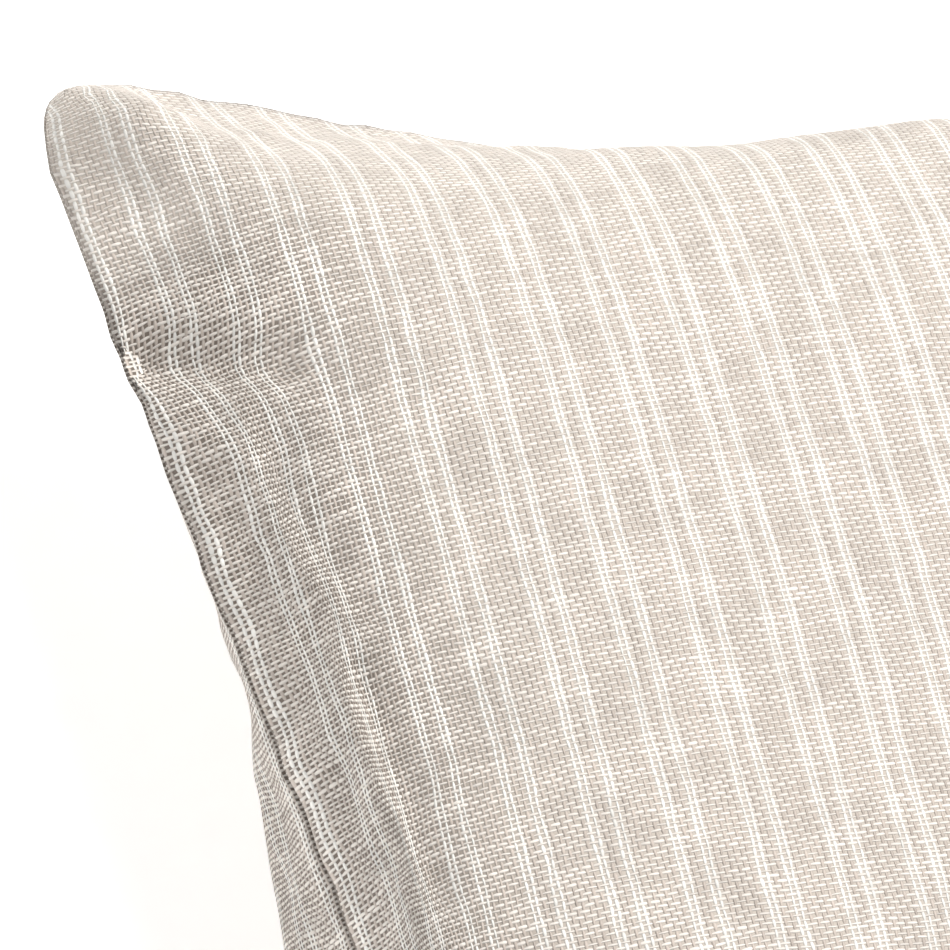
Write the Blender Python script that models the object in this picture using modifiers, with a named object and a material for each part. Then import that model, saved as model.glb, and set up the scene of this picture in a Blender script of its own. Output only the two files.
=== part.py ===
"""A 50 cm throw pillow: a zipped linen cover over a stuffed insert, lying on its back panel.

The cover is two panels sewn face to face and turned out, so each panel ends in a seam
allowance that points into the pillow. The edge at -Y holds a coil zip with its slider and
pull tab. Inside lie the insert's two casing panels and its fibre fill. +Z is the front of
the pillow, and the flat patch of the back panel rests on z = 0.
"""

import math

import bmesh
import bpy
from mathutils import Vector

# Filled cover
TIP_REACH = 0.246  # centre to the straight edge line through two corner tips
FRONT_CROWN = 0.075  # height of the front panel above the seam
BACK_CROWN = 0.075  # depth of the back panel below the seam, before it rests flat
REST_PRESS = 0.004  # how far the resting surface presses the back panel flat
SIDE_PULL_IN = 0.033  # how far the middle of a closed side draws in
ZIP_PULL_IN = 0.024  # how far the zipped side draws in
CORNER_CUT = 0.001  # how far a turned-out corner falls short of a sharp point
LINEN = 0.0006  # thickness of the cover cloth
SEAM_GAP = 0.0003  # between the two seam allowances
ALLOWANCE = 0.010  # seam allowance turned into the pillow
OVERLOCK_RADIUS = 0.0007  # thread bound round the raw edges
CLEAR = 0.0003  # between pieces that touch

# Zip
ZIP_LENGTH = 0.356  # opening between the two end stops' outer ends
ZIP_END_RUN = 0.017  # straight seam beyond each end of the opening
LIP_SLOT = 0.0040  # between the two folded lips of the cover
LIP_BAND = 0.014  # flat band beside each lip that carries the tape
LIP_LEAN = 0.0003  # how far the top of that band leans in
TAPE_WIDTH = 0.0125
TAPE_THICK = 0.0005
COIL_GAP = 0.0012  # between the two halves of the coil
COIL_WIDTH = 0.0014
COIL_DEPTH = 0.0014
STOP_LENGTH = 0.0030
STITCH_INSET = 0.0070  # topstitching, from the middle of the zip
STITCH_RADIUS = 0.0002

# Slider and pull tab
SLIDER_LENGTH = 0.0090
SLIDER_WIDTH = 0.0070
PLATE_THICK = 0.0008
WEDGE_WIDTH = 0.0006
GUIDE_WIDTH = 0.0006
CROWN_LENGTH = 0.0062
CROWN_WIDTH = 0.0020
CROWN_HEIGHT = 0.0035  # outer plate to the crown's back
CROWN_BAR = 0.0009  # thickness of the crown's arch
TAB_LENGTH = 0.0200
TAB_WIDTH = 0.0050
TAB_THICK = 0.0010
TAB_REACH = 0.0042  # pivot to the solid part of the tab
TAB_ARM = 0.0007
PIVOT_STANDOFF = 0.0009  # pivot axis to the outside of the lips

# Insert
INSERT_INSET = 0.016  # how far the insert stays inside the seam all round
CASING = 0.0005
CROWN_EASE = 0.0025  # room that the insert leaves under the cover's crown
FILL_GAP = 0.0004

# Care label
LABEL_WIDTH = 0.018
LABEL_DEPTH = 0.0060
LABEL_LAYER = 0.00025
LABEL_FOLD_GAP = 0.0003
LABEL_SETBACK = 0.0030  # from the folded edge of the seam

# Worked out from the sizes above
SEAM_Z = BACK_CROWN - REST_PRESS
ZIP_HALF = ZIP_LENGTH / 2
STRAIGHT_HALF = ZIP_HALF + ZIP_END_RUN
ZIP_EDGE_Y = -(TIP_REACH - ZIP_PULL_IN)
OUTER_PLATE_Y = ZIP_EDGE_Y + LINEN + CLEAR
COIL_Y = OUTER_PLATE_Y + PLATE_THICK + CLEAR
TAPE_Y = COIL_Y + COIL_DEPTH + CLEAR
INNER_PLATE_Y = TAPE_Y + TAPE_THICK + CLEAR
COIL_Z = COIL_GAP / 2
ZIP_PIECE_HALF = ZIP_HALF - CLEAR
CHAIN_HALF = ZIP_PIECE_HALF - STOP_LENGTH - CLEAR
SLIDER_X = CHAIN_HALF - SLIDER_LENGTH / 2
PIVOT_Y = ZIP_EDGE_Y - PIVOT_STANDOFF

HALF_COLUMNS_ON_ZIP = 4
HALF_COLUMNS_PAST_ZIP = 3
HALF_ROWS = 8


def clear_scene():
    for existing in list(bpy.data.objects):
        bpy.data.objects.remove(existing)


def new_collection(name):
    collection = bpy.data.collections.new(name)
    bpy.context.scene.collection.children.link(collection)
    return collection


def material(name, color, roughness, metallic=0.0):
    made = bpy.data.materials.new(name)
    made.use_nodes = True
    shader = made.node_tree.nodes["Principled BSDF"]
    shader.inputs["Base Color"].default_value = (*color, 1.0)
    shader.inputs["Roughness"].default_value = roughness
    shader.inputs["Metallic"].default_value = metallic
    made.diffuse_color = (*color, 1.0)
    return made


def add_object(name, mesh, surface, parent=None):
    made = bpy.data.objects.new(name, mesh)
    made.data.materials.append(surface)
    PILLOW.objects.link(made)
    made.parent = parent
    return made


def mesh_from(bm, name):
    mesh = bpy.data.meshes.new(name)
    bmesh.ops.recalc_face_normals(bm, faces=bm.faces)
    bm.to_mesh(mesh)
    bm.free()
    return mesh


def add_box(bm, low, high):
    """A closed box between two corners, added to the mesh being built."""
    made = bmesh.ops.create_cube(bm, size=1.0)["verts"]
    size = Vector(high) - Vector(low)
    middle = (Vector(high) + Vector(low)) / 2
    bmesh.ops.scale(bm, vec=size, verts=made)
    bmesh.ops.translate(bm, vec=middle, verts=made)


def box_object(name, low, high, surface, parent=None):
    bm = bmesh.new()
    add_box(bm, low, high)
    return add_object(name, mesh_from(bm, name), surface, parent)


def union_of_boxes(name, boxes, surface, parent):
    """Overlapping boxes joined into one body by Boolean unions, with the cutters kept apart."""
    body = box_object(name, *boxes[0], surface, parent)
    for number, (low, high) in enumerate(boxes[1:], start=1):
        tool = box_object(f"{name}_tool_{number}", low, high, surface, parent)
        PILLOW.objects.unlink(tool)
        CUTTERS.objects.link(tool)
        tool.hide_render = True
        tool.display_type = "WIRE"
        join = body.modifiers.new(f"join_{number}", "BOOLEAN")
        join.operation = "UNION"
        join.object = tool
    return body


def tube(name, points, radius, surface, sides_setting=1):
    """A thread or cord: a poly curve with a round bevel and filled caps."""
    curve = bpy.data.curves.new(name, "CURVE")
    curve.dimensions = "3D"
    curve.bevel_depth = radius
    curve.bevel_resolution = sides_setting
    curve.use_fill_caps = True
    spline = curve.splines.new("POLY")
    spline.points.add(len(points) - 1)
    for target, point in zip(spline.points, points):
        target.co = (*point, 1.0)
    return add_object(name, curve, surface)


def closed_side(distance):
    """Half the pillow's width at a distance from the middle of a closed side."""
    return TIP_REACH - SIDE_PULL_IN * (1 - (abs(distance) / TIP_REACH) ** 1.6)


def zipped_side(distance):
    """The same for the zipped side: straight over the zip, then out to the tips."""
    past = max(0.0, (abs(distance) - STRAIGHT_HALF) / (TIP_REACH - STRAIGHT_HALF))
    return TIP_REACH - ZIP_PULL_IN * (1 - past**2)


def fullness(across, along):
    """0 on the seam and 1 at the middle: boxy across the middle, thin along the diagonals."""
    power = 0.28 + 0.30 * math.sqrt(abs(across * along))
    return ((1 - across**2) * (1 - along**2)) ** power


def column_shares():
    """Where the grid's columns lie, with one at each end of the zip and of its straight run."""
    slot = ZIP_HALF / TIP_REACH
    straight = STRAIGHT_HALF / TIP_REACH
    shares = [slot * k / HALF_COLUMNS_ON_ZIP for k in range(HALF_COLUMNS_ON_ZIP + 1)]
    shares.append(straight)
    for k in range(1, HALF_COLUMNS_PAST_ZIP + 1):
        shares.append(straight + (1 - straight) * math.sin(math.pi / 2 * k / HALF_COLUMNS_PAST_ZIP))
    return [-share for share in reversed(shares[1:])] + shares


def row_shares():
    return [math.sin(math.pi / 2 * k / HALF_ROWS) for k in range(-HALF_ROWS, HALF_ROWS + 1)]


def cover_plan(across, along):
    """A point of the cover's plan, for shares from -1 to 1 of its width and depth."""
    x = across * closed_side(along * TIP_REACH)
    y = along * (zipped_side if along < 0 else closed_side)(across * TIP_REACH)
    if abs(across) == 1 and abs(along) == 1:
        x -= math.copysign(CORNER_CUT, across)
        y -= math.copysign(CORNER_CUT, along)
    return x, y


def inner_plan(across, along, inset):
    """The same for a piece inside the cover, an even distance in from all four seams."""
    x = across * (TIP_REACH - inset)
    y = along * (TIP_REACH - inset)
    for _ in range(8):
        x = across * (closed_side(y) - inset)
        y = along * ((zipped_side if along < 0 else closed_side)(x) - inset)
    return x, y


def panel_grid(side, plan, crown, floor, lift):
    """One panel as an open grid. side is 1 for the front and -1 for the back."""
    columns, rows = column_shares(), row_shares()
    bm = bmesh.new()
    bmesh.ops.create_grid(bm, x_segments=len(columns) - 1, y_segments=len(rows) - 1, size=1.0)
    for vertex in bm.verts:
        column = round((vertex.co.x + 1) / 2 * (len(columns) - 1))
        row = round((vertex.co.y + 1) / 2 * (len(rows) - 1))
        across, along = columns[column], rows[row]
        x, y = plan(across, along)
        height = max(lift, crown * fullness(across, along))
        vertex.co = (x, y, max(floor, SEAM_Z + side * height))
    if side < 0:
        bmesh.ops.reverse_faces(bm, faces=bm.faces)
    return bm


def shape_zip_band(bm, side):
    """Stands the cover's edge up beside the zip: a lip at the slot and a flat band above it."""
    rows = row_shares()
    second_row_y = rows[1] * (TIP_REACH - ZIP_PULL_IN)
    on_zip = [v for v in bm.verts if abs(v.co.x) <= ZIP_HALF + 1e-6 and v.co.y < 0]
    for vertex in on_zip:
        if vertex.is_boundary:
            vertex.co.z = SEAM_Z + side * LIP_SLOT / 2
        elif vertex.co.y < second_row_y + 1e-4:
            rise = max(LIP_SLOT / 2 + LIP_BAND, abs(vertex.co.z - SEAM_Z))
            vertex.co.y = ZIP_EDGE_Y + LIP_LEAN * rise / (LIP_SLOT / 2 + LIP_BAND)
            vertex.co.z = SEAM_Z + side * rise


def turned_in(x, y, depth):
    """The point a given depth inside the seam, mitred at the corners."""
    tip = TIP_REACH - CORNER_CUT
    squeeze = (tip - depth - STRAIGHT_HALF) / (tip - STRAIGHT_HALF)

    def mitred(value):
        past = abs(value) - STRAIGHT_HALF
        return value if past < 0 else math.copysign(STRAIGHT_HALF + past * squeeze, value)

    inner_x = x - math.copysign(depth, x) if abs(x) > abs(y) - 1e-6 else mitred(x)
    inner_y = y - math.copysign(depth, y) if abs(y) > abs(x) - 1e-6 else mitred(y)
    return inner_x, inner_y


def turn_in_allowance(bm):
    """Turns the seam allowance into the pillow along every edge that the zip leaves closed."""
    edges = []
    for edge in bm.edges:
        beside_zip = all(abs(v.co.x) <= ZIP_HALF + 1e-6 and v.co.y < 0 for v in edge.verts)
        if edge.is_boundary and not beside_zip:
            edges.append(edge)
    made = bmesh.ops.extrude_edge_only(bm, edges=edges)["geom"]
    for vertex in [item for item in made if isinstance(item, bmesh.types.BMVert)]:
        vertex.co.x, vertex.co.y = turned_in(vertex.co.x, vertex.co.y, ALLOWANCE)


def cover_panel(name, side, crown, surface):
    bm = panel_grid(side, cover_plan, crown, 0.0, SEAM_GAP / 2)
    shape_zip_band(bm, side)
    turn_in_allowance(bm)
    mesh = bpy.data.meshes.new(name)
    bm.to_mesh(mesh)
    bm.free()
    panel = add_object(name, mesh, surface)
    cloth = panel.modifiers.new("cloth", "SOLIDIFY")
    cloth.thickness = LINEN
    cloth.offset = -1
    mesh.shade_smooth()
    mesh.set_sharp_from_angle(angle=math.radians(50))
    return panel


def casing_plan(across, along):
    return inner_plan(across, along, INSERT_INSET)


def fill_plan(across, along):
    return inner_plan(across, along, INSERT_INSET + CASING + 4 * FILL_GAP)


def casing_panel(name, side, crown, surface):
    floor = LINEN + CLEAR
    bm = panel_grid(side, casing_plan, crown - floor - CROWN_EASE, floor, SEAM_GAP / 2 + CASING)
    mesh = bpy.data.meshes.new(name)
    bm.to_mesh(mesh)
    bm.free()
    panel = add_object(name, mesh, surface)
    cloth = panel.modifiers.new("cloth", "SOLIDIFY")
    cloth.thickness = CASING
    cloth.offset = -1
    mesh.shade_smooth()
    return panel


def fill_body(name, surface):
    """The fibre fill: two panels of the casing's shape, a little smaller, joined at their edge."""
    floor = LINEN + CLEAR + CASING + FILL_GAP
    halves = []
    for side, crown in ((1, FRONT_CROWN), (-1, BACK_CROWN)):
        half = panel_grid(side, fill_plan, crown - floor - CROWN_EASE - 2 * FILL_GAP, floor, 0.0)
        mesh = bpy.data.meshes.new(f"{name}_half")
        half.to_mesh(mesh)
        half.free()
        halves.append(mesh)
    bm = bmesh.new()
    for mesh in halves:
        bm.from_mesh(mesh)
        bpy.data.meshes.remove(mesh)
    bmesh.ops.remove_doubles(bm, verts=bm.verts, dist=1e-6)
    mesh = mesh_from(bm, name)
    mesh.shade_smooth()
    return add_object(name, mesh, surface)


def overlock_path():
    """Round the raw edges of the allowances, from one end of the zip to the other."""
    columns, rows = column_shares(), row_shares()
    past_zip = [c for c in columns if c * TIP_REACH > STRAIGHT_HALF - 1e-6]
    shares = [(c, -1.0) for c in past_zip]
    shares += [(1.0, r) for r in rows[1:]]
    shares += [(c, 1.0) for c in reversed(columns[:-1])]
    shares += [(-1.0, r) for r in reversed(rows[:-1])]
    shares += [(-c, -1.0) for c in reversed(past_zip[:-1])]
    edge = [Vector(turned_in(*cover_plan(across, along), ALLOWANCE)) for across, along in shares]
    points = []
    for number, here in enumerate(edge):
        before = (here - edge[number - 1]).normalized() if number else None
        after = (edge[number + 1] - here).normalized() if number + 1 < len(edge) else before
        before = before or after
        inward = Vector((-before.y - after.y, before.x + after.x)).normalized()
        reach = (CLEAR + OVERLOCK_RADIUS) / inward.dot(Vector((-after.y, after.x)))
        points.append((*(here + inward * reach), SEAM_Z))
    return points


def make_seams():
    tube("overlock_thread", overlock_path(), OVERLOCK_RADIUS, THREAD)
    stitch_y = ZIP_EDGE_Y - CLEAR - STITCH_RADIUS
    for name, side in (("zip_topstitch_front", 1), ("zip_topstitch_back", -1)):
        z = SEAM_Z + side * STITCH_INSET
        ends = [(-ZIP_HALF, stitch_y, z), (ZIP_HALF, stitch_y, z)]
        tube(name, ends, STITCH_RADIUS, THREAD)


def make_zip():
    for name, side in (("front", 1), ("back", -1)):
        inner = SEAM_Z + side * COIL_Z
        outer = SEAM_Z + side * (COIL_Z + COIL_WIDTH)
        low = (-CHAIN_HALF, COIL_Y, min(inner, outer))
        high = (CHAIN_HALF, COIL_Y + COIL_DEPTH, max(inner, outer))
        box_object(f"zip_coil_{name}", low, high, COIL)
        tape_outer = SEAM_Z + side * (COIL_Z + TAPE_WIDTH)
        low = (-ZIP_PIECE_HALF, TAPE_Y, min(inner, tape_outer))
        high = (ZIP_PIECE_HALF, TAPE_Y + TAPE_THICK, max(inner, tape_outer))
        box_object(f"zip_tape_{name}", low, high, TAPE)
    half_height = COIL_Z + COIL_WIDTH
    for name, side in (("zip_closed_end_stop", 1), ("zip_open_end_stop", -1)):
        ends = sorted((side * (ZIP_PIECE_HALF - STOP_LENGTH), side * ZIP_PIECE_HALF))
        low = (ends[0], COIL_Y, SEAM_Z - half_height)
        high = (ends[1], COIL_Y + COIL_DEPTH, SEAM_Z + half_height)
        box_object(name, low, high, METAL)


def make_slider(carriage):
    """Two plates round the coil joined by the wedge between its halves, and an arched crown."""
    half = SLIDER_LENGTH / 2
    wide = SLIDER_WIDTH / 2
    guide_z = COIL_Z + COIL_WIDTH + CLEAR
    outer = OUTER_PLATE_Y - carriage.location.y
    outer_in = outer + PLATE_THICK
    inner = INNER_PLATE_Y - carriage.location.y
    guide_end = COIL_Y + COIL_DEPTH - carriage.location.y
    crown_back = outer - CROWN_HEIGHT
    bite = PLATE_THICK / 2
    boxes = [
        ((-half, outer, -wide), (half, outer_in, wide)),
        ((-half, inner, -wide), (half, inner + PLATE_THICK, wide)),
        ((half / 2, outer + bite, -WEDGE_WIDTH / 2), (half - bite, inner + bite, WEDGE_WIDTH / 2)),
    ]
    for side in (1, -1):
        z = sorted((side * guide_z, side * (guide_z + GUIDE_WIDTH)))
        boxes.append(((-half + bite, outer + bite, z[0]), (half - bite, guide_end, z[1])))
    crown = CROWN_LENGTH / 2
    boxes.append(((-crown, crown_back, -CROWN_WIDTH / 2), (crown, crown_back + CROWN_BAR, CROWN_WIDTH / 2)))
    for side in (1, -1):
        x = sorted((side * (crown - CROWN_BAR), side * crown))
        low = (x[0], crown_back + CROWN_BAR / 2, -CROWN_WIDTH / 2 + CLEAR / 3)
        high = (x[1], outer + bite, CROWN_WIDTH / 2 - CLEAR / 3)
        boxes.append((low, high))
    return union_of_boxes("zip_slider", boxes, METAL, carriage)


def make_pull_tab(pivot):
    """A flat tab on two arms, with a cross bar that turns under the slider's crown."""
    arm_in = CROWN_WIDTH / 2 + CLEAR
    arm_out = arm_in + TAB_ARM
    half = TAB_THICK / 2
    bite = TAB_ARM / 2
    bar = TAB_THICK * 0.4
    boxes = [
        ((-TAB_REACH - TAB_LENGTH, -half, -TAB_WIDTH / 2), (-TAB_REACH, half, TAB_WIDTH / 2)),
        ((-bar, -bar, -arm_out + bite), (bar, bar, arm_out - bite)),
    ]
    for side in (1, -1):
        z = sorted((side * arm_in, side * arm_out))
        boxes.append(((-TAB_REACH - bite, -half * 0.9, z[0]), (half, half * 0.9, z[1])))
    return union_of_boxes("zip_pull_tab", boxes, METAL, pivot)


def make_care_label():
    """A blank folded label laid on the allowance between the zip and the corner."""
    base_z = SEAM_Z + SEAM_GAP / 2 + LINEN + CLEAR
    middle_x = (STRAIGHT_HALF + TIP_REACH - ALLOWANCE) / 2
    edge_y = -zipped_side(middle_x - LABEL_WIDTH / 2) + LABEL_SETBACK
    x = (middle_x - LABEL_WIDTH / 2, middle_x + LABEL_WIDTH / 2)
    upper_z = base_z + LABEL_LAYER + LABEL_FOLD_GAP
    fold_y = edge_y + LABEL_DEPTH
    boxes = [
        ((x[0], edge_y, base_z), (x[1], fold_y, base_z + LABEL_LAYER)),
        ((x[0], edge_y, upper_z), (x[1], fold_y, upper_z + LABEL_LAYER)),
        ((x[0], fold_y - LABEL_LAYER, base_z), (x[1], fold_y, upper_z + LABEL_LAYER)),
    ]
    union_of_boxes("care_label", boxes, LABEL, None)


def empty(name, location, parent=None):
    made = bpy.data.objects.new(name, None)
    made.empty_display_size = 0.01
    PILLOW.objects.link(made)
    made.parent = parent
    made.location = location
    return made


clear_scene()
PILLOW = new_collection("throw_pillow")
CUTTERS = new_collection("cutters")
CUTTERS.hide_render = True

LINEN_CLOTH = material("striped_linen", (0.71, 0.65, 0.58), 0.92)
CASING_CLOTH = material("white_cotton", (0.86, 0.85, 0.82), 0.9)
FIBRE = material("fibre_fill", (0.9, 0.9, 0.89), 0.95)
THREAD = material("cream_thread", (0.80, 0.76, 0.68), 0.7)
TAPE = material("zip_tape", (0.74, 0.69, 0.61), 0.85)
COIL = material("zip_coil", (0.76, 0.72, 0.65), 0.4)
METAL = material("zip_metal", (0.72, 0.70, 0.66), 0.35, 1.0)
LABEL = material("label_satin", (0.92, 0.91, 0.88), 0.5)

cover_panel("cover_front", 1, FRONT_CROWN, LINEN_CLOTH)
cover_panel("cover_back", -1, BACK_CROWN, LINEN_CLOTH)
make_seams()
make_zip()
slider_carriage = empty("slider_carriage", (SLIDER_X, OUTER_PLATE_Y, SEAM_Z))
make_slider(slider_carriage)
tab_pivot = empty("tab_pivot", (0.0, PIVOT_Y - OUTER_PLATE_Y, 0.0), slider_carriage)
make_pull_tab(tab_pivot)
make_care_label()
casing_panel("insert_casing_front", 1, FRONT_CROWN, CASING_CLOTH)
casing_panel("insert_casing_back", -1, BACK_CROWN, CASING_CLOTH)
fill_body("insert_fill", FIBRE)
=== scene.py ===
import math

import bpy
import numpy as np
from mathutils import Matrix, Vector


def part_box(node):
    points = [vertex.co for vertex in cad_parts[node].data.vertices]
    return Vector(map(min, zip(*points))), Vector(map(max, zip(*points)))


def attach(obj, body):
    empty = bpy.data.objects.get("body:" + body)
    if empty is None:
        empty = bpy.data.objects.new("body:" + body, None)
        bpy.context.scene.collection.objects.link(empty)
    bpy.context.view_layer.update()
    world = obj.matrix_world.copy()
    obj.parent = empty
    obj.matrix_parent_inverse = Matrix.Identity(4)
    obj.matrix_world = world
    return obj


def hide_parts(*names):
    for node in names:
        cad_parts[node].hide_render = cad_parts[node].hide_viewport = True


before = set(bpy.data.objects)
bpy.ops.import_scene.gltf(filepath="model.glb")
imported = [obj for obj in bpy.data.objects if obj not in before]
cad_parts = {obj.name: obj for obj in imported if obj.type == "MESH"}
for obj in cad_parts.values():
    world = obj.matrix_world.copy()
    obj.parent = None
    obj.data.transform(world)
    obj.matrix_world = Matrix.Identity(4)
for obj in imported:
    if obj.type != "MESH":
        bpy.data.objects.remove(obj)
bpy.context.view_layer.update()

# ------------------------------------------------------------------ the room
# The pillow lies on its back on a white sweep table, under an even white room
# and one large soft box above it, beyond its top right. The camera looks down
# on the top left corner through a long lens, turned a little on its axis.
SEAM_HEIGHT = sum(corner.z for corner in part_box("overlock_thread")) / 2
ROOM_LIGHT = 0.50
KEY_POWER = 124.0
KEY_SIZE = 1.8
KEY_DISTANCE = 3.2
KEY_SIDE, KEY_RISE, KEY_FRONT = 0.52, 0.60, 0.55
TABLE_GLOW = 0.5
TABLE_SIDE = 12.0
SWING = math.radians(27.2)
LEAN = math.radians(19.0)
ROLL = math.radians(-3.92)
VIEW_WIDTH = 0.1908
CAMERA_DISTANCE = 3.62
CORNER_TIP = Vector((-0.2447, 0.2445, SEAM_HEIGHT))
AIM_RIGHT = 0.0972
AIM_DOWN = 0.0869

towards_camera = Vector(
    (-math.sin(SWING), -math.cos(SWING) * math.sin(LEAN), math.cos(SWING) * math.cos(LEAN))
)
upright = Vector((0.0, math.cos(LEAN), math.sin(LEAN)))
level = upright.cross(towards_camera)
view_up = upright * math.cos(ROLL) - level * math.sin(ROLL)
view_right = level * math.cos(ROLL) + upright * math.sin(ROLL)
aim = CORNER_TIP + view_right * AIM_RIGHT - view_up * AIM_DOWN

lens = bpy.data.cameras.new("long_lens")
lens.lens = lens.sensor_width * CAMERA_DISTANCE / VIEW_WIDTH
lens.clip_end = 40.0
camera = bpy.data.objects.new("camera", lens)
turn = Matrix((view_right, view_up, towards_camera)).transposed().to_4x4()
camera.matrix_world = Matrix.Translation(aim + towards_camera * CAMERA_DISTANCE) @ turn
bpy.context.scene.collection.objects.link(camera)
bpy.context.scene.camera = camera
bpy.context.scene.view_settings.view_transform = "Standard"

soft_box = bpy.data.lights.new("soft_box", "AREA")
soft_box.size = KEY_SIZE
soft_box.energy = KEY_POWER
soft_box.color = (1.0, 0.985, 0.96)
soft_box_at = bpy.data.objects.new("soft_box", soft_box)
from_key = (view_right * KEY_SIDE + view_up * KEY_RISE + towards_camera * KEY_FRONT).normalized()
soft_box_at.matrix_world = (
    Matrix.Translation(aim + from_key * KEY_DISTANCE) @ from_key.to_track_quat("Z", "Y").to_matrix().to_4x4()
)
bpy.context.scene.collection.objects.link(soft_box_at)

room = bpy.data.worlds.new("white_room")
room.use_nodes = True
room.node_tree.nodes["Background"].inputs["Color"].default_value = (1.0, 1.0, 1.0, 1.0)
room.node_tree.nodes["Background"].inputs["Strength"].default_value = ROOM_LIGHT
bpy.context.scene.world = room


class Signal:
    """A socket of a shader node. Arithmetic on it adds Math nodes, and node() adds any other node."""

    def __init__(self, tree, socket=None):
        self.tree = tree
        self.socket = socket

    def __getitem__(self, output):
        return Signal(self.tree, self.socket.node.outputs[output])

    def node(self, kind, settings=None, inputs=None, output=0):
        made = self.tree.nodes.new("ShaderNode" + kind)
        for name, value in (settings or {}).items():
            setattr(made, name, value)
        for name, value in (inputs or {}).items():
            if isinstance(value, Signal):
                self.tree.links.new(value.socket, made.inputs[name])
            elif made.inputs[name].type == "RGBA":
                made.inputs[name].default_value = (*value, 1.0)
            else:
                made.inputs[name].default_value = value
        return Signal(self.tree, made.outputs[output] if len(made.outputs) else None)

    def math(self, operation, *values):
        return self.node("Math", {"operation": operation}, dict(enumerate(values)))

    def __add__(self, other):
        return self.math("ADD", self, other)

    __radd__ = __add__

    def __sub__(self, other):
        return self.math("SUBTRACT", self, other)

    def __rsub__(self, other):
        return self.math("SUBTRACT", other, self)

    def __mul__(self, other):
        return self.math("MULTIPLY", self, other)

    __rmul__ = __mul__

    def __truediv__(self, other):
        return self.math("DIVIDE", self, other)

    def __gt__(self, other):
        return self.math("GREATER_THAN", self, other)

    def __lt__(self, other):
        return self.math("LESS_THAN", self, other)

    def __mod__(self, other):
        return self.math("FLOORED_MODULO", self, other)

    def floor(self):
        return self.math("FLOOR", self)

    def between(self, low, high):
        """0 at low and below, 1 at high and above, and a smooth rise between them."""
        settings = {"interpolation_type": "SMOOTHSTEP"}
        return self.node("MapRange", settings, {0: self, 1: low, 2: high})

    def blend(self, colour_a, colour_b):
        """The colour that this share of the way from the first colour to the second gives."""
        return self.node("Mix", {"data_type": "RGBA"}, {0: self, 6: colour_a, 7: colour_b}, output=2)

    def tint(self, colour):
        """The colour scaled by this number."""
        return self.node("VectorMath", {"operation": "SCALE"}, {0: colour, 3: self})

    def noise(self, where, scale, detail=1.0, dimensions="3D"):
        settings = {"noise_dimensions": dimensions}
        return self.node("TexNoise", settings, {"Vector": where, "Scale": scale, "Detail": detail})


def new_finish(name):
    """An empty material, and a Signal to build its nodes from."""
    material = bpy.data.materials.new(name)
    material.use_nodes = True
    material.node_tree.nodes.clear()
    return material, Signal(material.node_tree)


def close_finish(graph, inputs):
    """Ends a material in a Principled shader with these sockets."""
    surface = graph.node("BsdfPrincipled", None, inputs)
    graph.node("OutputMaterial", None, {"Surface": surface})


table_white, graph = new_finish("table_white")
grain = graph.noise(graph.node("NewGeometry"), 180.0, 3.0)
table_grey = grain.between(0.3, 0.7) * 0.02 + 0.93
close_finish(
    graph,
    {
        "Base Color": graph.node("CombineColor", None, {0: table_grey, 1: table_grey, 2: table_grey}),
        "Roughness": 0.9,
        "Emission Color": (1.0, 1.0, 1.0),
        "Emission Strength": TABLE_GLOW,
    },
)
bpy.ops.mesh.primitive_plane_add(size=TABLE_SIDE)
table = bpy.context.object
table.name = "sweep_table"
table.data.materials.append(table_white)

# --------------------------------------------------------------- the cover
# Two square panels of open, plain-woven striped linen, sewn face to face
# round three sides and beside the zip, turned out and stuffed. The stuffing
# pulls the sides in between the corners and leaves puckers along the seams.
PANEL = 0.502
CORNER_ROUND = 0.018
ALLOWANCE = 0.010
ZIP_HALF = 0.178
ZIP_BAND = 0.016
ZIP_FADE = 0.050
TAB_ROOM = 0.021
END_FADE = 0.030
LIP_GAP = 0.002
ZIP_PLANE = -0.222
FULL_VOLUME = 0.0212
FIRST_CELLS = 50
FIRST_FRAMES = 30
FINE_FRAMES = 16
SIDE_DRAW = 0.0160
SIDE_DRAW_SPREAD = 1.4191
SIDE_DRAW_REACH = 0.0280
SIDE_SWELL = 0.0094
SIDE_LIFT = 0.0057
SIDE_PUSH = 0.0069
TOP_DRAW = 0.0330
TOP_DRAW_SPREAD = 1.0109
TOP_DRAW_REACH = 0.0355
TOP_SWELL = 0.0092
TOP_PUSH = 0.0120
SWELL_SPREAD = 1.6
SHOULDER = 0.014
PUSH_REACH = 0.030
PUSH_SPREAD = 3
LIFT_REACH = 0.050
LIFT_SPREAD = 2
EASE = 0.8
EASE_PASSES = 40
EASE_FROM = 0.02
EASE_FADE = 0.06
FOLD_RIM = 0.006
FOLD_RIM_SHARE = 0.3
FOLDS = (
    ((-0.252, 0.180), (-0.216, 0.168), 0.0060, -0.0065),
    ((-0.252, 0.164), (-0.228, 0.150), 0.0050, 0.0022),
    ((-0.238, 0.150), (-0.228, 0.112), 0.0040, 0.0018),
    ((-0.228, 0.152), (-0.214, 0.112), 0.0045, -0.0022),
    ((-0.230, 0.100), (-0.228, 0.050), 0.0045, 0.0018),
    ((-0.219, 0.098), (-0.214, 0.050), 0.0050, -0.0024),
    ((-0.190, 0.150), (-0.184, 0.112), 0.0050, -0.0010),
)
CORNER_REACH = 0.030
CORNER_PASSES = 36
CORNER_PUFF = 0.006
CORNER_RISE = 0.010
TABLE_SOFTNESS = 0.003
SEAM_STEP = 0.003


def rounded_corners(cut):
    """Moves a square grid's points near its corners in, so that its outline has round corners."""
    sign = np.sign(cut)
    reach = PANEL / 2 - CORNER_ROUND
    beyond = np.abs(cut) - reach
    near = (beyond > 0).all(axis=-1)
    length = np.linalg.norm(beyond, axis=-1)
    share = beyond.max(axis=-1)
    rounded = reach + beyond * (share / np.where(length > 0, length, 1.0))[..., None]
    return np.where(near[..., None], sign * rounded, cut)


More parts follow.
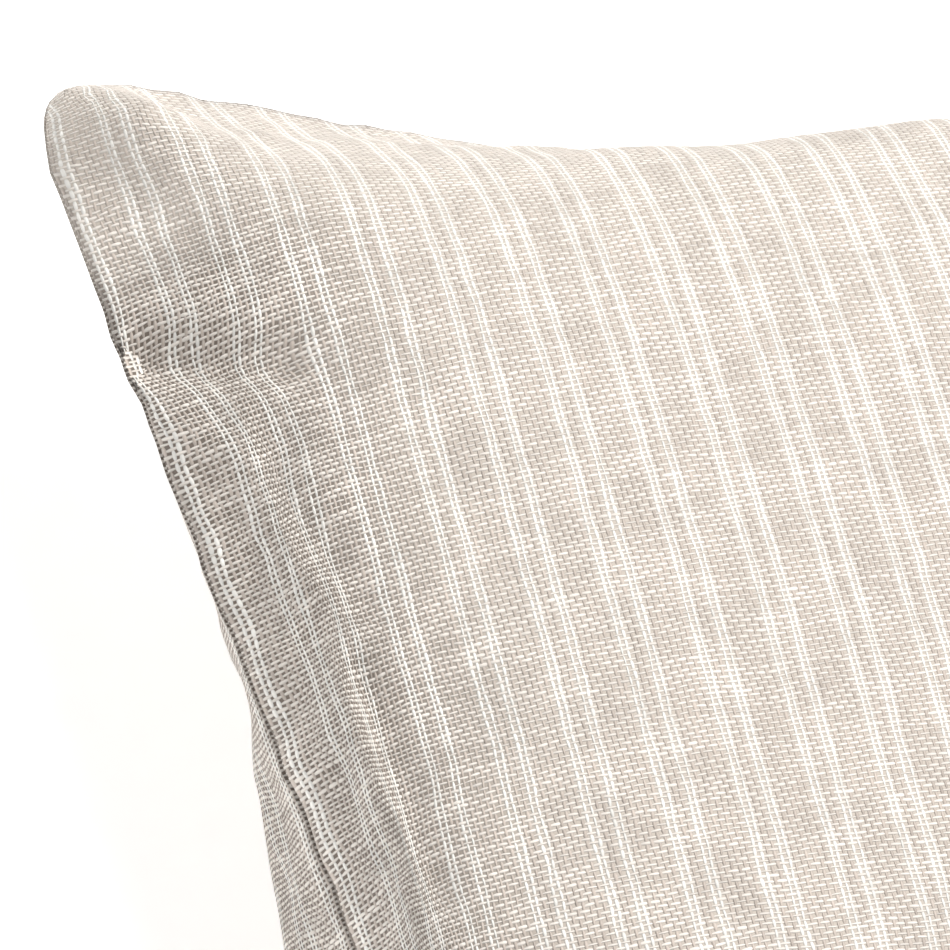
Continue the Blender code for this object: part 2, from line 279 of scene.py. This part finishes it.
def panel_cut(cells):
    """The crossings of a grid on one panel as it is cut, from its middle, in metres."""
    edge = np.linspace(-PANEL / 2, PANEL / 2, cells + 1)
    return rounded_corners(np.stack(np.meshgrid(edge, edge, indexing="ij"), axis=-1))


def sewn_index(cells):
    """Vertex numbers of the front and back panels, which share the points along their seams."""
    front = np.arange((cells + 1) ** 2).reshape(cells + 1, cells + 1)
    inner = np.zeros(front.shape, bool)
    inner[1:-1, 1:-1] = True
    back = front.copy()
    back[inner] = front.size + np.arange(inner.sum())
    return front, back


def quads(index):
    """The faces of a grid of vertex numbers."""
    corners = [index[:-1, :-1], index[1:, :-1], index[1:, 1:], index[:-1, 1:]]
    return np.stack(corners, axis=-1).reshape(-1, 4)


def new_mesh(name, points, faces):
    mesh = bpy.data.meshes.new(name)
    mesh.from_pydata(points.tolist(), [], faces.tolist())
    mesh.update()
    return mesh


def flat_start(cut):
    """A barely puffed front panel."""
    x, y = cut[..., 0], cut[..., 1]
    inset = PANEL / 2 - np.abs(cut).max(axis=-1)
    swell = np.cos(math.pi * x / PANEL) * np.cos(math.pi * y / PANEL)
    return np.stack([x, y, 0.004 * (1 - np.exp(-inset / 0.02)) + 0.02 * swell], axis=-1)


def stuffed(cells, front_start, back_start, frames, flat_rest):
    """Stuffs the sewn panels by a cloth simulation, and returns their two grids of points."""
    cut = panel_cut(cells)
    front, back = sewn_index(cells)
    points = np.zeros((back.max() + 1, 3))
    points[back.ravel()] = back_start.reshape(-1, 3)
    points[front.ravel()] = front_start.reshape(-1, 3)
    flat = np.zeros_like(points)
    for index in (back, front):
        flat[index.ravel(), :2] = cut.reshape(-1, 2)
    points += np.random.default_rng(3).normal(0, 0.0002, points.shape)
    mesh = new_mesh("sewn_cover", points, np.concatenate([quads(front), quads(back)[:, ::-1]]))
    cover = bpy.data.objects.new("sewn_cover", mesh)
    bpy.context.scene.collection.objects.link(cover)
    cover.shape_key_add(name="Basis")
    key = cover.shape_key_add(name="cut")
    key.data.foreach_set("co", flat.ravel())
    cloth = cover.modifiers.new("cloth", "CLOTH")
    linen = cloth.settings
    linen.quality = 6
    linen.mass = 0.02
    linen.air_damping = 3
    linen.tension_stiffness = 40
    linen.compression_stiffness = 20
    linen.shear_stiffness = 8
    linen.bending_stiffness = 0.5
    linen.tension_damping = 10
    linen.compression_damping = 10
    linen.shear_damping = 5
    if flat_rest:
        linen.rest_shape_key = key
    linen.use_pressure = True
    linen.uniform_pressure_force = 0
    linen.use_pressure_volume = True
    linen.target_volume = FULL_VOLUME
    linen.pressure_factor = 3
    linen.effector_weights.gravity = 0
    cloth.collision_settings.use_collision = False
    cloth.point_cache.frame_start = 1
    cloth.point_cache.frame_end = frames
    for frame_number in range(1, frames + 1):
        bpy.context.scene.frame_set(frame_number)
    settled = cover.evaluated_get(bpy.context.evaluated_depsgraph_get()).to_mesh()
    found = np.empty(len(points) * 3, np.float32)
    settled.vertices.foreach_get("co", found)
    found = found.reshape(-1, 3).astype(float)
    bpy.data.objects.remove(cover)
    bpy.context.scene.frame_set(1)
    return found[front], found[back]


def finer(grid, times):
    """A grid of points with times as many cells each way, along smooth curves through its points."""
    cells = grid.shape[0] - 1
    place = np.linspace(0, cells, cells * times + 1)
    low = np.clip(np.floor(place).astype(int), 0, cells - 1)
    t = place - low
    weights = np.zeros((len(place), cells + 3))
    shares = [
        -t / 2 + t**2 - t**3 / 2,
        1 - 2.5 * t**2 + 1.5 * t**3,
        t / 2 + 2 * t**2 - 1.5 * t**3,
        (t**3 - t**2) / 2,
    ]
    for step, share in enumerate(shares):
        weights[np.arange(len(place)), low + step] = share
    padded = np.concatenate([2 * grid[:1] - grid[1:2], grid, 2 * grid[-1:] - grid[-2:-1]])
    before = 2 * padded[:, :1] - padded[:, 1:2]
    after = 2 * padded[:, -1:] - padded[:, -2:-1]
    padded = np.concatenate([before, padded, after], axis=1)
    return np.einsum("ai,bj,ijk->abk", weights, weights, padded)


def laid_zip(points, cut, side):
    """Draws the lower edge straight along the zip, as a flat band that stands up from it."""
    beside = np.clip((ZIP_HALF + TAB_ROOM + END_FADE - np.abs(cut[..., 0])) / END_FADE, 0, 1)
    beside = beside * beside * (3 - 2 * beside)
    gap = LIP_GAP * np.clip((ZIP_HALF + 0.004 - np.abs(cut[..., 0])) / 0.004, 0, 1)
    inset = cut[..., 1] + PANEL / 2
    band = inset <= ZIP_BAND + 1e-6
    last = np.flatnonzero(band[len(band) // 2])[-1]
    target = np.stack([cut[..., 0], np.full_like(gap, ZIP_PLANE), side * (gap + inset)], axis=-1)
    shift = np.where(band[..., None], target - points, (target - points)[:, last : last + 1])
    fade = np.clip((ZIP_BAND + ZIP_FADE - inset) / ZIP_FADE, 0, 1)
    fade = fade * fade * (3 - 2 * fade)
    return points + shift * (beside * fade)[..., None]


def plumped(points, cut, side):
    """Rounds the pillow towards its closed sides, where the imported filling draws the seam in."""
    x, y = cut[..., 0], cut[..., 1]
    plump = points.copy()
    side_shape = (SIDE_DRAW, SIDE_DRAW_SPREAD, SIDE_DRAW_REACH, SIDE_SWELL, SIDE_LIFT, SIDE_PUSH)
    top_shape = (TOP_DRAW, TOP_DRAW_SPREAD, TOP_DRAW_REACH, TOP_SWELL, 0.0, TOP_PUSH)
    for axis, end, shape in ((0, -1, side_shape), (0, 1, side_shape), (1, 1, top_shape)):
        draw, spread, reach, swell, lift, push = shape
        along = np.clip(np.cos(math.pi * np.clip((y, x)[axis] / PANEL, -0.5, 0.5)), 0, 1)
        inset = np.clip(PANEL / 2 - end * (x, y)[axis], 0, None)
        plump[..., axis] -= end * draw * along**spread * np.exp(-((inset / reach) ** 2))
        pushed = inset / PUSH_REACH * np.exp(1 - inset / PUSH_REACH)
        plump[..., axis] += end * push * along**PUSH_SPREAD * pushed
        swollen = inset / SHOULDER * np.exp(1 - inset / SHOULDER)
        plump[..., 2] += side * swell * along**SWELL_SPREAD * swollen
        plump[..., 2] += lift * along**LIFT_SPREAD * np.exp(-((inset / LIFT_REACH) ** 2))
    return plump


def ring(size):
    """Row and column numbers of the outermost points of a grid, once round."""
    run = np.arange(size - 1)
    last = np.full(size - 1, size - 1)
    return np.concatenate([run, last, last - run, 0 * run]), np.concatenate([0 * run, run, last, last - run])


def corner_eased(front, back, cut):
    """Turns the corners out: the seam runs round them smoothly, and the panels swell out behind it."""
    rows, columns = ring(front.shape[0])
    front, back = front.copy(), back.copy()
    seam = (front[rows, columns] + back[rows, columns]) / 2
    corner = np.abs(cut[rows, columns, :2]).min(axis=-1) > PANEL / 2 - CORNER_REACH
    for _ in range(CORNER_PASSES):
        beside = (np.roll(seam, 1, axis=0) + np.roll(seam, -1, axis=0)) / 2
        seam = np.where(corner[:, None], beside, seam)
    inset = PANEL / 2 - np.abs(cut[..., :2]).max(axis=-1)
    away = np.linalg.norm(PANEL / 2 - np.abs(cut[..., :2]), axis=-1)
    share = np.clip((CORNER_REACH - away) / CORNER_REACH * 2, 0, 1)[1:-1, 1:-1, None]
    puff = CORNER_PUFF * np.exp(-((away / CORNER_REACH) ** 2)) * np.sqrt(np.clip(inset / CORNER_RISE, 0, 1))
    for grid, side in ((front, 1), (back, -1)):
        grid[rows, columns] = seam
        for _ in range(CORNER_PASSES):
            beside = grid[2:, 1:-1] + grid[:-2, 1:-1] + grid[1:-1, 2:] + grid[1:-1, :-2]
            grid[1:-1, 1:-1] = grid[1:-1, 1:-1] * (1 - share) + beside / 4 * share
        grid[..., 2] += side * puff
    return front, back


def eased(points, cut):
    """Smooths the small waves out of the middle, and leaves the puckers near the seams."""
    inset = PANEL / 2 - np.abs(cut[..., :2]).max(axis=-1)
    share = (EASE * np.clip((inset - EASE_FROM) / EASE_FADE, 0, 1))[1:-1, 1:-1, None]
    for _ in range(EASE_PASSES):
        middle = points[1:-1, 1:-1]
        beside = points[2:, 1:-1] + points[:-2, 1:-1] + points[1:-1, 2:] + points[1:-1, :-2]
        points = points.copy()
        points[1:-1, 1:-1] = middle * (1 - share) + beside / 4 * share
    return points


def folded(points, cut):
    """Adds the soft folds that handling leaves in the loose linen beside the left seam."""
    points = points.copy()
    for start, end, width, height in FOLDS:
        run = np.subtract(end, start)
        from_start = cut[..., :2] - start
        share = np.clip((from_start @ run) / (run @ run), 0, 1)
        away = np.linalg.norm(from_start - share[..., None] * run, axis=-1)
        free = np.clip((PANEL / 2 - np.abs(cut[..., :2]).max(axis=-1)) / FOLD_RIM, 0, 1)
        depth = FOLD_RIM_SHARE + (1 - FOLD_RIM_SHARE) * free
        points[..., 2] += height * np.exp(-((away / width) ** 2)) * depth
    return points


def laid_down(points):
    """Sets the pillow on the table, where its weight flattens the back."""
    placed = points + (0, 0, SEAM_HEIGHT)
    height = placed[..., 2]
    placed[..., 2] = (height + np.sqrt(height**2 + TABLE_SOFTNESS**2)) / 2
    return placed


first_start = flat_start(panel_cut(FIRST_CELLS))
first_frames = FIRST_FRAMES
front_cloth, back_cloth = stuffed(FIRST_CELLS, first_start, first_start * (1, 1, -1), first_frames, False)
cells = FIRST_CELLS
cells = FIRST_CELLS * 2
front_cloth, back_cloth = stuffed(cells, finer(front_cloth, 2), finer(back_cloth, 2), FINE_FRAMES, True)
detail = 2
cut = finer(np.concatenate([panel_cut(cells), np.zeros((cells + 1, cells + 1, 1))], axis=-1), detail)
front_cloth = finer(front_cloth, detail)
back_cloth = finer(back_cloth, detail)
ends = np.array([[front_cloth[i, j] for j in (0, -1)] for i in (0, -1)])
middle = np.append(ends[..., :2].mean(axis=(0, 1)), front_cloth[[0, -1], :, 2].mean())
front_cloth, back_cloth = corner_eased(front_cloth - middle, back_cloth - middle, cut)
front_cloth, back_cloth = eased(front_cloth, cut), eased(back_cloth, cut)
front_slack, back_slack = laid_down(front_cloth), laid_down(back_cloth)
front_cloth = laid_down(laid_zip(folded(plumped(front_cloth, cut, 1), cut), cut, 1))
back_cloth = laid_down(laid_zip(plumped(back_cloth, cut, -1), cut, -1))


TURN_DEPTH = 0.050
SEAM_TURN = ((0.0, 0.00055), (-0.0009, 0.00015), (-0.004, 0.00035), (-ALLOWANCE, 0.00035))
ZIP_TURN = ((0.0, 0.0), (-0.0006, -0.0003), (-0.0011, 0.0008), (-0.0011, 0.009))


def unit(vectors):
    return vectors / np.maximum(np.linalg.norm(vectors, axis=-1, keepdims=True), 1e-12)


def around(grid, within):
    """The outermost points of a grid once round, and the way out from so many rows inside them."""
    rows, columns = ring(grid.shape[0])
    last = grid.shape[0] - 1 - within
    edge = grid[rows, columns]
    inner = grid[np.clip(rows, within, last), np.clip(columns, within, last)]
    return edge, unit(edge - inner)


deep_rows = round(TURN_DEPTH / PANEL * (cut.shape[0] - 1))
front_out = around(front_cloth, 1)[1]
back_out = around(back_cloth, 1)[1]
cut_edge, cut_out = around(cut, 1)
seam_line, seam_out = around((front_cloth + back_cloth) / 2, deep_rows)
towards_front = back_out - front_out
seam_up = unit(towards_front - (towards_front * seam_out).sum(axis=-1, keepdims=True) * seam_out)
at_zip = np.clip((ZIP_HALF + SEAM_STEP - np.abs(cut_edge[:, :1])) / SEAM_STEP, 0, 1)
at_zip = at_zip * (ring(cut.shape[0])[1][:, None] == 0)


def panel_object(name, grid, side):
    """One panel with its seam allowance turned in all round, and folded back behind the zip's lip."""
    size = grid.shape[0]
    rows, columns = ring(size)
    own_edge = grid[rows, columns]
    turned = []
    for (seam_reach, seam_rise), (zip_reach, zip_rise) in zip(SEAM_TURN, ZIP_TURN):
        sewn = seam_line + seam_out * seam_reach + seam_up * seam_rise * side
        folded = own_edge + np.array([0.0, -zip_reach, zip_rise * side])
        turned.append(sewn * (1 - at_zip) + folded * at_zip)
    grid = grid.copy()
    grid[rows, columns] = turned[0]
    points = np.concatenate([grid.reshape(-1, 3)] + turned[1:])
    cuts = [cut.reshape(-1, 3)] + [cut_edge - cut_out * reach for reach, _ in SEAM_TURN[1:]]
    index = np.arange(size * size).reshape(size, size)
    count = len(rows)
    loops = [index[rows, columns]] + [size * size + step * count + np.arange(count) for step in range(3)]
    strips = [
        np.stack([outer, inner, np.roll(inner, -1), np.roll(outer, -1)], axis=-1)
        for outer, inner in zip(loops, loops[1:])
    ]
    faces = np.concatenate([quads(index)] + strips)
    mesh = new_mesh(name, points, faces[:, ::-1] if side < 0 else faces)
    attribute = mesh.attributes.new("cut", "FLOAT_VECTOR", "POINT")
    attribute.data.foreach_set("vector", np.concatenate(cuts).ravel().astype(np.float32))
    mesh.shade_smooth()
    made = bpy.data.objects.new(name, mesh)
    bpy.context.scene.collection.objects.link(made)
    return made


linen_front = panel_object("linen_front_panel", front_cloth, 1)
linen_back = panel_object("linen_back_panel", back_cloth, -1)

WARP_PITCH = 0.00125
WEFT_PITCH = 0.00112
WHITE_YARN = (0.84, 0.82, 0.78)
TAUPE_YARN = (0.53, 0.465, 0.415)
CREAM_YARN = (0.79, 0.735, 0.68)
# Painted shade: the holes between the threads are coloured darker for the shade that falls into them.
HOLE_PAINTED_SHADE = (0.52, 0.465, 0.41)
# Painted shade: a still darker hole colour for the left side, which the light only grazes.
LEFT_SIDE_PAINTED_SHADE = (0.17, 0.14, 0.115)
THREAD_HALF = 0.20
CRIMP = 0.20
BULGE = 0.25
HOLE_FLOOR = -0.20
RELIEF = 0.0005
STRIPE_REPEAT = 12
END_DRIFT = 0.6
PICK_DRIFT = 1.2
END_WOBBLE = 0.55
PICK_WOBBLE = 0.6
END_SLUB = 0.22
PICK_SLUB = 0.26

striped_linen, graph = new_finish("striped_linen")
place = graph.node("Attribute", {"attribute_name": "cut"}, output="Vector")
split = graph.node("SeparateXYZ", None, {0: place})
drift = graph.node("SeparateColor", None, {0: graph.noise(place, 45.0, 2.0, "2D")["Color"]})
across = split["X"] / WARP_PITCH + (drift["Red"] - 0.5) * END_DRIFT
along = split["Y"] / WEFT_PITCH + (drift["Green"] - 0.5) * PICK_DRIFT
end = across.floor()
pick = along.floor()
end_place = graph.node("CombineXYZ", None, {0: end * 3.7, 1: along * 0.13})
pick_place = graph.node("CombineXYZ", None, {0: across * 0.13, 1: pick * 3.7})
end_yarn = graph.node("SeparateColor", None, {0: graph.noise(end_place, 1.0, 1.0, "2D")["Color"]})
pick_yarn = graph.node("SeparateColor", None, {0: graph.noise(pick_place, 1.0, 1.0, "2D")["Color"]})
from_end = across - end - 0.5 - (end_yarn["Red"] - 0.5) * END_WOBBLE
from_pick = along - pick - 0.5 - (pick_yarn["Red"] - 0.5) * PICK_WOBBLE
repeat = end % STRIPE_REPEAT
white_end = (repeat < 1.5) + (repeat > 3.5) * (repeat < 5.5)
end_half = (end_yarn["Green"] - 0.5) * END_SLUB + THREAD_HALF
pick_half = (pick_yarn["Green"] - 0.5) * PICK_SLUB + THREAD_HALF
end_side = from_end / end_half
pick_side = from_pick / pick_half
end_wave = graph.math("SINE", along * math.pi) * (1 - (end % 2) * 2)
pick_wave = graph.math("SINE", across * math.pi) * ((pick % 2) * 2 - 1)
end_top = end_wave * CRIMP + (1 - end_side * end_side) * BULGE
pick_top = pick_wave * CRIMP + (1 - pick_side * pick_side) * BULGE
thread_top = graph.math("MAXIMUM", end_top, pick_top)
surface_top = graph.math("MAXIMUM", thread_top, HOLE_FLOOR)
warp_shows = (end_top - pick_top).between(-0.04, 0.04)
thread_shows = (thread_top - HOLE_FLOOR).between(0.0, 0.12)
warp_colour = white_end.blend(TAUPE_YARN, WHITE_YARN)
warp_colour = ((end_yarn["Blue"] - 0.5) * 0.5 + 1).tint(warp_colour)
weft_colour = ((pick_yarn["Blue"] - 0.5) * 0.4 + 1).tint(CREAM_YARN)
thread_colour = warp_shows.blend(weft_colour, warp_colour)
blotch = graph.noise(place, 70.0, 3.0, "2D")["Fac"].between(0.25, 0.75) * 0.16 + 0.92
# Painted shade: each thread turns darker where it dips under a crossing thread; the blotch noise is an
# uneven random tone.
thread_colour = ((thread_top.between(-0.25, 0.25) * 0.22 + 0.78) * blotch).tint(thread_colour)
# Painted shade: the holes along the left side, below the top left corner, turn darker, as the light only
# grazes that side.
left_side_shade_mask = (1 - split["X"].between(-0.228, -0.178)) * (1 - split["Y"].between(0.186, 0.208))
painted_hole_shade = left_side_shade_mask.blend(HOLE_PAINTED_SHADE, LEFT_SIDE_PAINTED_SHADE)
# Painted shade fills the holes between the threads.
linen_colour = thread_shows.blend(painted_hole_shade, thread_colour)
relief = graph.node("Bump", None, {"Strength": 1.0, "Distance": RELIEF, "Height": surface_top})
close_finish(
    graph,
    {
        "Base Color": linen_colour,
        "Roughness": 0.92,
        "Sheen Weight": 0.12,
        "Sheen Roughness": 0.5,
        "Normal": relief,
    },
)

for panel, node in ((linen_front, "cover_front"), (linen_back, "cover_back")):
    panel.data.materials.append(striped_linen)
    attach(panel, "pillow")
    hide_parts(node)

# --------------------------------------------------------------- the insert
# A bag of plain down-proof cotton in two halves, sewn round and packed with
# siliconised polyester fibre. It lies loose in the cover, a little smaller
# than it, and stays clear of its corners and seams.
CASING_INSET = 0.013
CASING_DEPTH = 0.0030
CASING_ROUND = 0.020
CASING_SHARE = 0.86
FILL_INSET = 0.017
FILL_DEPTH = 0.0045
INSERT_CELLS = 60


def inside_cover(inset, depth, side):
    """A grid that follows one side of the cover from within, and meets the other side at its rim."""
    size = cut.shape[0]
    share = np.linspace(-1, 1, INSERT_CELLS + 1) * (1 - 2 * inset / PANEL)
    weights = np.clip(1 - np.abs((share[:, None] + 1) / 2 * (size - 1) - np.arange(size)), 0, 1)
    front = np.einsum("ai,bj,ijk->abk", weights, weights, front_slack)
    back = np.einsum("ai,bj,ijk->abk", weights, weights, back_slack)
    half = (front - back) / 2
    thick = np.linalg.norm(half, axis=-1, keepdims=True)
    rim = np.clip((1 - np.abs(np.linspace(-1, 1, INSERT_CELLS + 1))) * PANEL / 2 / CASING_ROUND, 0, 1)
    rim = np.minimum(rim[:, None], rim[None, :])
    bulge = np.sqrt(1 - (1 - rim) ** 2)[..., None]
    inner = (front + back) / 2 + side * half * bulge * np.clip(1 - depth / thick, 0, 1)
    inner[..., :2] *= CASING_SHARE
    return inner


insert_cotton, graph = new_finish("insert_cotton")
place = graph.node("TexCoord")["Object"]
plain_weave = {"Vector": place, "Scale": 320.0, "Distortion": 1.2}
weave = graph.node("TexWave", {"bands_direction": "X"}, plain_weave)
crossing = graph.node("TexWave", {"bands_direction": "Y"}, plain_weave)
cloth_tone = weave["Fac"] * 0.5 + crossing["Fac"] * 0.5
close_finish(
    graph,
    {
        "Base Color": cloth_tone.blend((0.70, 0.69, 0.66), (0.82, 0.81, 0.78)),
        "Roughness": 0.9,
        "Normal": graph.node("Bump", None, {"Strength": 0.6, "Distance": 0.0002, "Height": cloth_tone}),
    },
)
fibre_fill, graph = new_finish("fibre_fill")
tufts = graph.noise(graph.node("TexCoord")["Object"], 260.0, 6.0)
close_finish(
    graph,
    {
        "Base Color": tufts.blend((0.78, 0.78, 0.77), (0.90, 0.90, 0.89)),
        "Roughness": 1.0,
        "Normal": graph.node("Bump", None, {"Strength": 1.0, "Distance": 0.003, "Height": tufts}),
    },
)
for name, side in (("insert_casing_front", 1), ("insert_casing_back", -1)):
    points = inside_cover(CASING_INSET, CASING_DEPTH, side).reshape(-1, 3)
    faces = quads(np.arange(len(points)).reshape(INSERT_CELLS + 1, INSERT_CELLS + 1))[:, ::side]
    mesh = new_mesh("cotton_" + name, points, faces)
    mesh.shade_smooth()
    mesh.materials.append(insert_cotton)
    casing = bpy.data.objects.new("cotton_" + name, mesh)
    bpy.context.scene.collection.objects.link(casing)
    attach(casing, "pillow")
    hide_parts(name)

fill_front, fill_back = sewn_index(INSERT_CELLS)
points = np.zeros((fill_back.max() + 1, 3))
points[fill_back.ravel()] = inside_cover(FILL_INSET, FILL_DEPTH, -1).reshape(-1, 3)
points[fill_front.ravel()] = inside_cover(FILL_INSET, FILL_DEPTH, 1).reshape(-1, 3)
mesh = new_mesh("polyester_filling", points, np.concatenate([quads(fill_front), quads(fill_back)[:, ::-1]]))
mesh.shade_smooth()
mesh.materials.append(fibre_fill)
filling = bpy.data.objects.new("polyester_filling", mesh)
bpy.context.scene.collection.objects.link(filling)
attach(filling, "pillow")
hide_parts("insert_fill")

# ------------------------------------------------------------ sewing threads
# Cotton-wrapped polyester thread. An overlock stitch binds the raw edges of
# the seams inside the cover, and a row of lockstitches holds each zip tape
# to the linen, a few millimetres from the lip, where it shows outside.
THREAD_RADIUS = 0.00021
STITCH = 0.0030
STITCH_GAP = 0.0005
STITCH_RISE = 0.00035
STITCH_STEPS = 6
STITCH_HALF = 0.177
OVERLOCK_STEP = 0.0030
OVERLOCK_SWING = 0.0011
OVERLOCK_FLAT = 0.7
THREAD_SIDES = 5
OVERLOCK_SIDES = 4


def swept(runs, radius, sides):
    """Points and faces of round yarn or wire along each run of points, with closed ends."""
    turns = np.linspace(0, 2 * math.pi, sides, endpoint=False)
    points, faces, base = [], [], 0
    for run in runs:
        heading = unit(np.gradient(run, axis=0))
        across = np.cross(heading[0], (0.31, 0.52, 0.79))
        for here, ahead in zip(run, heading):
            across = unit(across - ahead * (across @ ahead))
            beyond = np.cross(ahead, across)
            circle = np.outer(np.cos(turns), across) + np.outer(np.sin(turns), beyond)
            points.append(here + radius * circle)
        index = base + np.arange(len(run) * sides).reshape(len(run), sides)
        after = np.roll(index, -1, axis=1)
        faces += np.stack([index[:-1], after[:-1], after[1:], index[1:]], axis=-1).reshape(-1, 4).tolist()
        faces += [index[0, ::-1].tolist(), index[-1].tolist()]
        base += len(run) * sides
    return np.concatenate(points), faces


def swept_object(name, runs, radius, sides, finish, node):
    points, faces = swept(runs, radius, sides)
    mesh = bpy.data.meshes.new(name)
    mesh.from_pydata(points.tolist(), [], faces)
    mesh.update()
    mesh.shade_smooth()
    mesh.materials.append(finish)
    made = bpy.data.objects.new(name, mesh)
    bpy.context.scene.collection.objects.link(made)
    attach(made, "pillow")
    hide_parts(node)
    return made


sewing_thread, graph = new_finish("sewing_thread")
place = graph.node("TexCoord")["Object"]
twist = graph.node("TexWave", {"bands_direction": "DIAGONAL"}, {"Vector": place, "Scale": 900.0})
close_finish(
    graph,
    {
        "Base Color": twist["Fac"].blend((0.62, 0.56, 0.50), (0.80, 0.75, 0.69)),
        "Roughness": 0.7,
        "Normal": graph.node("Bump", None, {"Strength": 0.5, "Distance": 0.0001, "Height": twist["Fac"]}),
    },
)
for panel in ("front", "back"):
    node = "zip_topstitch_" + panel
    height = sum(corner.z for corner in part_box(node)) / 2
    stitches = []
    for start in np.arange(-STITCH_HALF, STITCH_HALF - STITCH, STITCH + STITCH_GAP):
        share = np.linspace(0, 1, STITCH_STEPS)
        rise = STITCH_RISE * np.sin(math.pi * share) - THREAD_RADIUS
        stitches.append(
            np.stack([start + STITCH * share, ZIP_PLANE - rise, np.full(STITCH_STEPS, height)], axis=-1)
        )
    name = panel + "_zip_stitches"
    swept_object(name, stitches, THREAD_RADIUS, THREAD_SIDES, sewing_thread, node)

raw_edge = seam_line - seam_out * ALLOWANCE
sewn = np.flatnonzero(at_zip[:, 0] < 1)
opening = np.flatnonzero(np.diff(sewn) > 1)
order = np.concatenate([sewn[opening[0] + 1 :], sewn[: opening[0] + 1]]) if len(opening) else sewn
raw_edge, raw_out, raw_up = raw_edge[order], seam_out[order], seam_up[order]
length = np.concatenate([[0], np.cumsum(np.linalg.norm(np.diff(raw_edge, axis=0), axis=1))])
station = np.arange(0, length[-1], OVERLOCK_STEP / 4)
tracks = np.concatenate([raw_edge, raw_out, raw_up], axis=-1)
spread = np.stack([np.interp(station, length, track) for track in tracks.T], axis=-1).reshape(-1, 3, 3)
turn_angle = (np.arange(len(station)) * math.pi / 2)[:, None]
swing = np.cos(turn_angle) * spread[:, 1] + OVERLOCK_FLAT * np.sin(turn_angle) * spread[:, 2]
overlock = [spread[:, 0] + OVERLOCK_SWING * swing]
name, node, slot = "overlock_stitches", "overlock_thread", "sewing_thread"
swept_object(name, overlock, THREAD_RADIUS, OVERLOCK_SIDES, sewing_thread, node)

# ------------------------------------------------------------------ the zip
# A nylon coil zip between the lips of the linen: a spiral of clear filament
# sewn down each woven tape, meshing in the middle, with a crimped metal stop
# at each end and a die-cast slider that carries a stamped pull tab.
COIL_PITCH = 0.00135
COIL_WIRE = 0.00026
COIL_CENTRE = 0.0013
COIL_RADIUS = 0.00043
COIL_STEPS = 8

zip_tape, graph = new_finish("zip_tape")
place = graph.node("TexCoord")["Object"]
rib = graph.node("TexWave", {"bands_direction": "DIAGONAL"}, {"Vector": place, "Scale": 420.0})
close_finish(
    graph,
    {
        "Base Color": rib["Fac"].blend((0.55, 0.50, 0.44), (0.72, 0.67, 0.60)),
        "Roughness": 0.75,
        "Normal": graph.node("Bump", None, {"Strength": 0.7, "Distance": 0.00015, "Height": rib["Fac"]}),
    },
)
zip_coil, graph = new_finish("zip_coil")
cloud = graph.noise(graph.node("TexCoord")["Object"], 900.0, 2.0)
close_finish(
    graph,
    {
        "Base Color": cloud.blend((0.66, 0.61, 0.54), (0.78, 0.74, 0.67)),
        "Roughness": cloud * 0.2 + 0.28,
        "Coat Weight": 0.2,
    },
)
zip_metal, graph = new_finish("zip_metal")
rub = graph.noise(graph.node("TexCoord")["Object"], 700.0, 5.0)
close_finish(
    graph,
    {
        "Base Color": rub.blend((0.52, 0.50, 0.47), (0.72, 0.70, 0.67)),
        "Metallic": 1.0,
        "Roughness": rub * 0.35 + 0.18,
        "Normal": graph.node("Bump", None, {"Strength": 0.25, "Distance": 0.0001, "Height": rub}),
    },
)
coil_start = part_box("zip_coil_front")[0].x + COIL_WIRE
coil_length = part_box("zip_coil_front")[1].x - coil_start - COIL_WIRE
coil_depth = sum(corner.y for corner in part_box("zip_coil_front")) / 2
for node, side in (("zip_coil_front", 1), ("zip_coil_back", -1)):
    laps = np.arange(int(coil_length / COIL_PITCH) * COIL_STEPS) / COIL_STEPS
    angle = 2 * math.pi * laps + (0 if side > 0 else math.pi)
    away = SEAM_HEIGHT + side * (COIL_CENTRE + COIL_RADIUS * np.sin(angle))
    down = coil_depth + COIL_RADIUS * np.cos(angle)
    coil = np.stack([coil_start + laps * COIL_PITCH, down, away], axis=-1)
    swept_object("nylon_" + node, [coil], COIL_WIRE, THREAD_SIDES, zip_coil, node)

for finish, nodes in (
    (zip_tape, ("zip_tape_front", "zip_tape_back")),
    (zip_metal, ("zip_slider", "zip_pull_tab", "zip_open_end_stop", "zip_closed_end_stop")),
):
    for node in nodes:
        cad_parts[node].material_slots[0].material = finish

# ------------------------------------------------------------ the care label
# A short loop of white satin ribbon, folded once and caught in the seam
# inside the cover, beside the zip. It carries no print.
label_satin, graph = new_finish("label_satin")
place = graph.node("TexCoord")["Object"]
sheen = graph.node("TexWave", {"bands_direction": "X"}, {"Vector": place, "Scale": 1500.0})
close_finish(
    graph,
    {
        "Base Color": sheen["Fac"].blend((0.82, 0.82, 0.80), (0.90, 0.90, 0.88)),
        "Roughness": sheen["Fac"] * 0.1 + 0.32,
    },
)
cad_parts["care_label"].material_slots[0].material = label_satin
